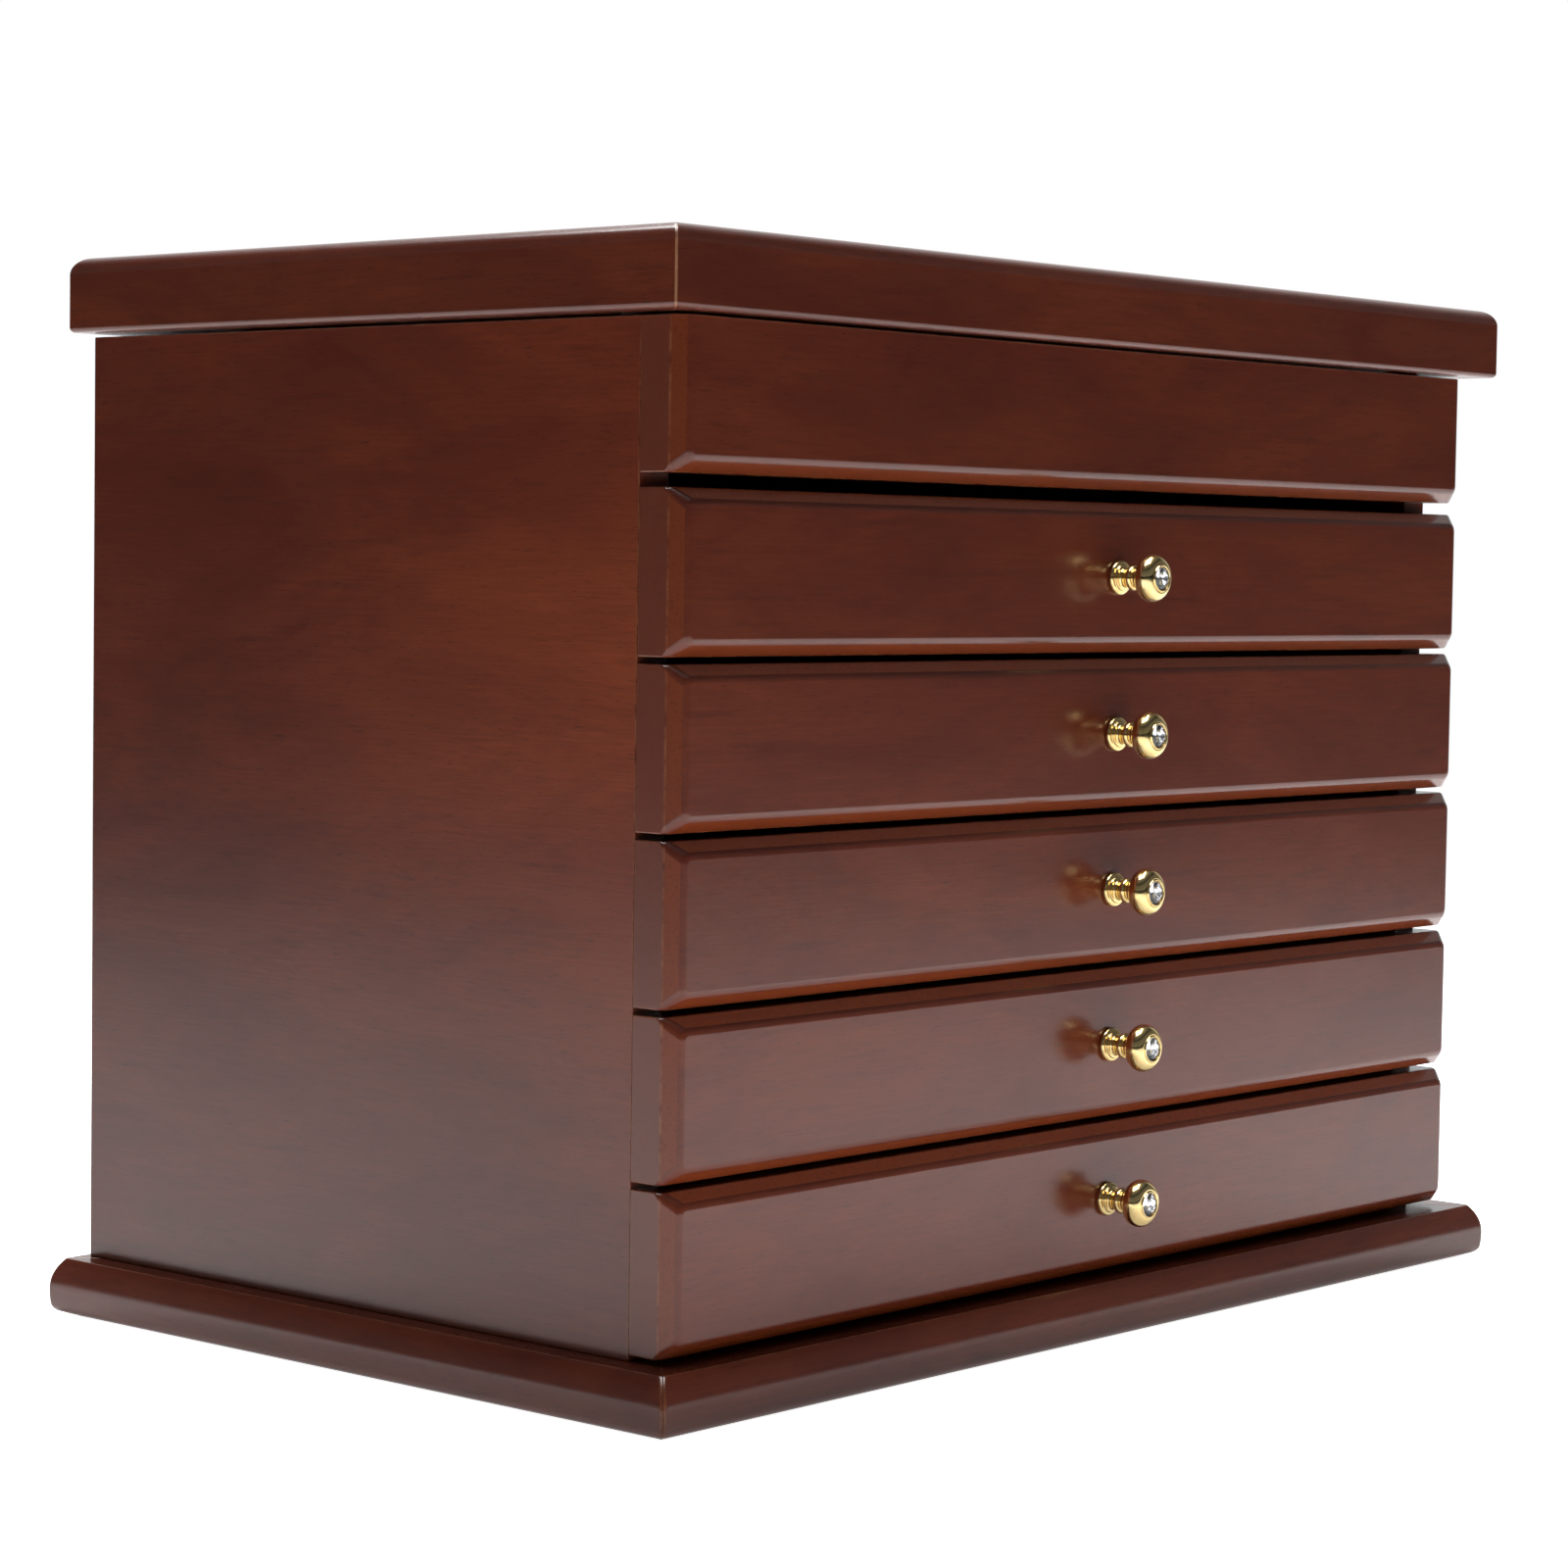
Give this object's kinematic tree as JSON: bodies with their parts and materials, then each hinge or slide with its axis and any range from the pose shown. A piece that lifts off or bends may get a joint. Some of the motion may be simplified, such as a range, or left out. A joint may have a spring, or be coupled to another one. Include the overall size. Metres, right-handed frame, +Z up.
{
  "type": "jewellery chest",
  "caption": "Lidded wooden jewellery chest with a lined top compartment over a stack of shallow knobbed drawers, on a moulded base.",
  "frame": {"origin": "bottom centre of the whole chest's box, on the surface that it stands on, knobs included and drawers and lid closed", "axes": "+Z up, +X to the chest's right as seen from the front, +Y to its back, so the drawers open towards -Y"},
  "size_m": [0.3176, 0.204, 0.2475],
  "materials": {
    "lacquered_wood": "semi-gloss lacquer over reddish brown stain",
    "inner_wood": "bare planed wood",
    "velvet_lining": "short-pile champagne velvet",
    "dark_felt": "pressed wool felt",
    "polished_brass": "polished",
    "clear_stone": "faceted, foil-backed",
    "mirror_glass": "silvered"
  },
  "bodies": {
    "chest": {"underside_felt": "dark_felt", "base_board": "inner_wood", "base_long_mouldings": "lacquered_wood", "base_side_mouldings": "lacquered_wood", "left_side_panel": "lacquered_wood", "right_side_panel": "lacquered_wood", "back_panel": "lacquered_wood", "compartment_floor": "inner_wood", "front_fascia": "lacquered_wood", "drawer_runners": "inner_wood", "compartment_lining": "velvet_lining", "compartment_dividers": "velvet_lining", "ring_rolls": "velvet_lining", "lid_bumpers": "dark_felt", "hinge_body_leaves": "polished_brass", "hinge_pins": "polished_brass", "hinge_body_screws": "polished_brass"},
    "lid": {"lid_panel": "lacquered_wood", "lid_front_rail": "lacquered_wood", "lid_rear_rail": "lacquered_wood", "lid_side_rails": "lacquered_wood", "lid_lining": "velvet_lining", "mirror": "mirror_glass", "hinge_lid_leaves": "polished_brass", "hinge_lid_screws": "polished_brass"},
    "drawer_1": {"drawer_1_front": "lacquered_wood", "drawer_1_sides": "inner_wood", "drawer_1_back": "inner_wood", "drawer_1_bottom": "inner_wood", "drawer_1_lining": "velvet_lining", "drawer_1_knob": "polished_brass", "drawer_1_gem": "clear_stone"},
    "drawer_2": {"drawer_2_front": "lacquered_wood", "drawer_2_sides": "inner_wood", "drawer_2_back": "inner_wood", "drawer_2_bottom": "inner_wood", "drawer_2_lining": "velvet_lining", "drawer_2_knob": "polished_brass", "drawer_2_gem": "clear_stone"},
    "drawer_3": {"drawer_3_front": "lacquered_wood", "drawer_3_sides": "inner_wood", "drawer_3_back": "inner_wood", "drawer_3_bottom": "inner_wood", "drawer_3_lining": "velvet_lining", "drawer_3_knob": "polished_brass", "drawer_3_gem": "clear_stone"},
    "drawer_4": {"drawer_4_front": "lacquered_wood", "drawer_4_sides": "inner_wood", "drawer_4_back": "inner_wood", "drawer_4_bottom": "inner_wood", "drawer_4_lining": "velvet_lining", "drawer_4_knob": "polished_brass", "drawer_4_gem": "clear_stone"},
    "drawer_5": {"drawer_5_front": "lacquered_wood", "drawer_5_sides": "inner_wood", "drawer_5_back": "inner_wood", "drawer_5_bottom": "inner_wood", "drawer_5_lining": "velvet_lining", "drawer_5_knob": "polished_brass", "drawer_5_gem": "clear_stone"}
  },
  "joints": [
    {"name": "lid_hinge", "type": "hinge", "parent": "chest", "child": "lid", "pos_m": [0, 0.09985, 0.2299], "axis": [-1, 0, 0], "range_deg": [0, 95]},
    {"name": "drawer_1_slide", "type": "slide", "parent": "chest", "child": "drawer_1", "axis": [0, -1, 0], "range_m": [0, 0.12]},
    {"name": "drawer_2_slide", "type": "slide", "parent": "chest", "child": "drawer_2", "axis": [0, -1, 0], "range_m": [0, 0.12]},
    {"name": "drawer_3_slide", "type": "slide", "parent": "chest", "child": "drawer_3", "axis": [0, -1, 0], "range_m": [0, 0.12]},
    {"name": "drawer_4_slide", "type": "slide", "parent": "chest", "child": "drawer_4", "axis": [0, -1, 0], "range_m": [0, 0.12]},
    {"name": "drawer_5_slide", "type": "slide", "parent": "chest", "child": "drawer_5", "axis": [0, -1, 0], "range_m": [0, 0.12]}
  ]
}
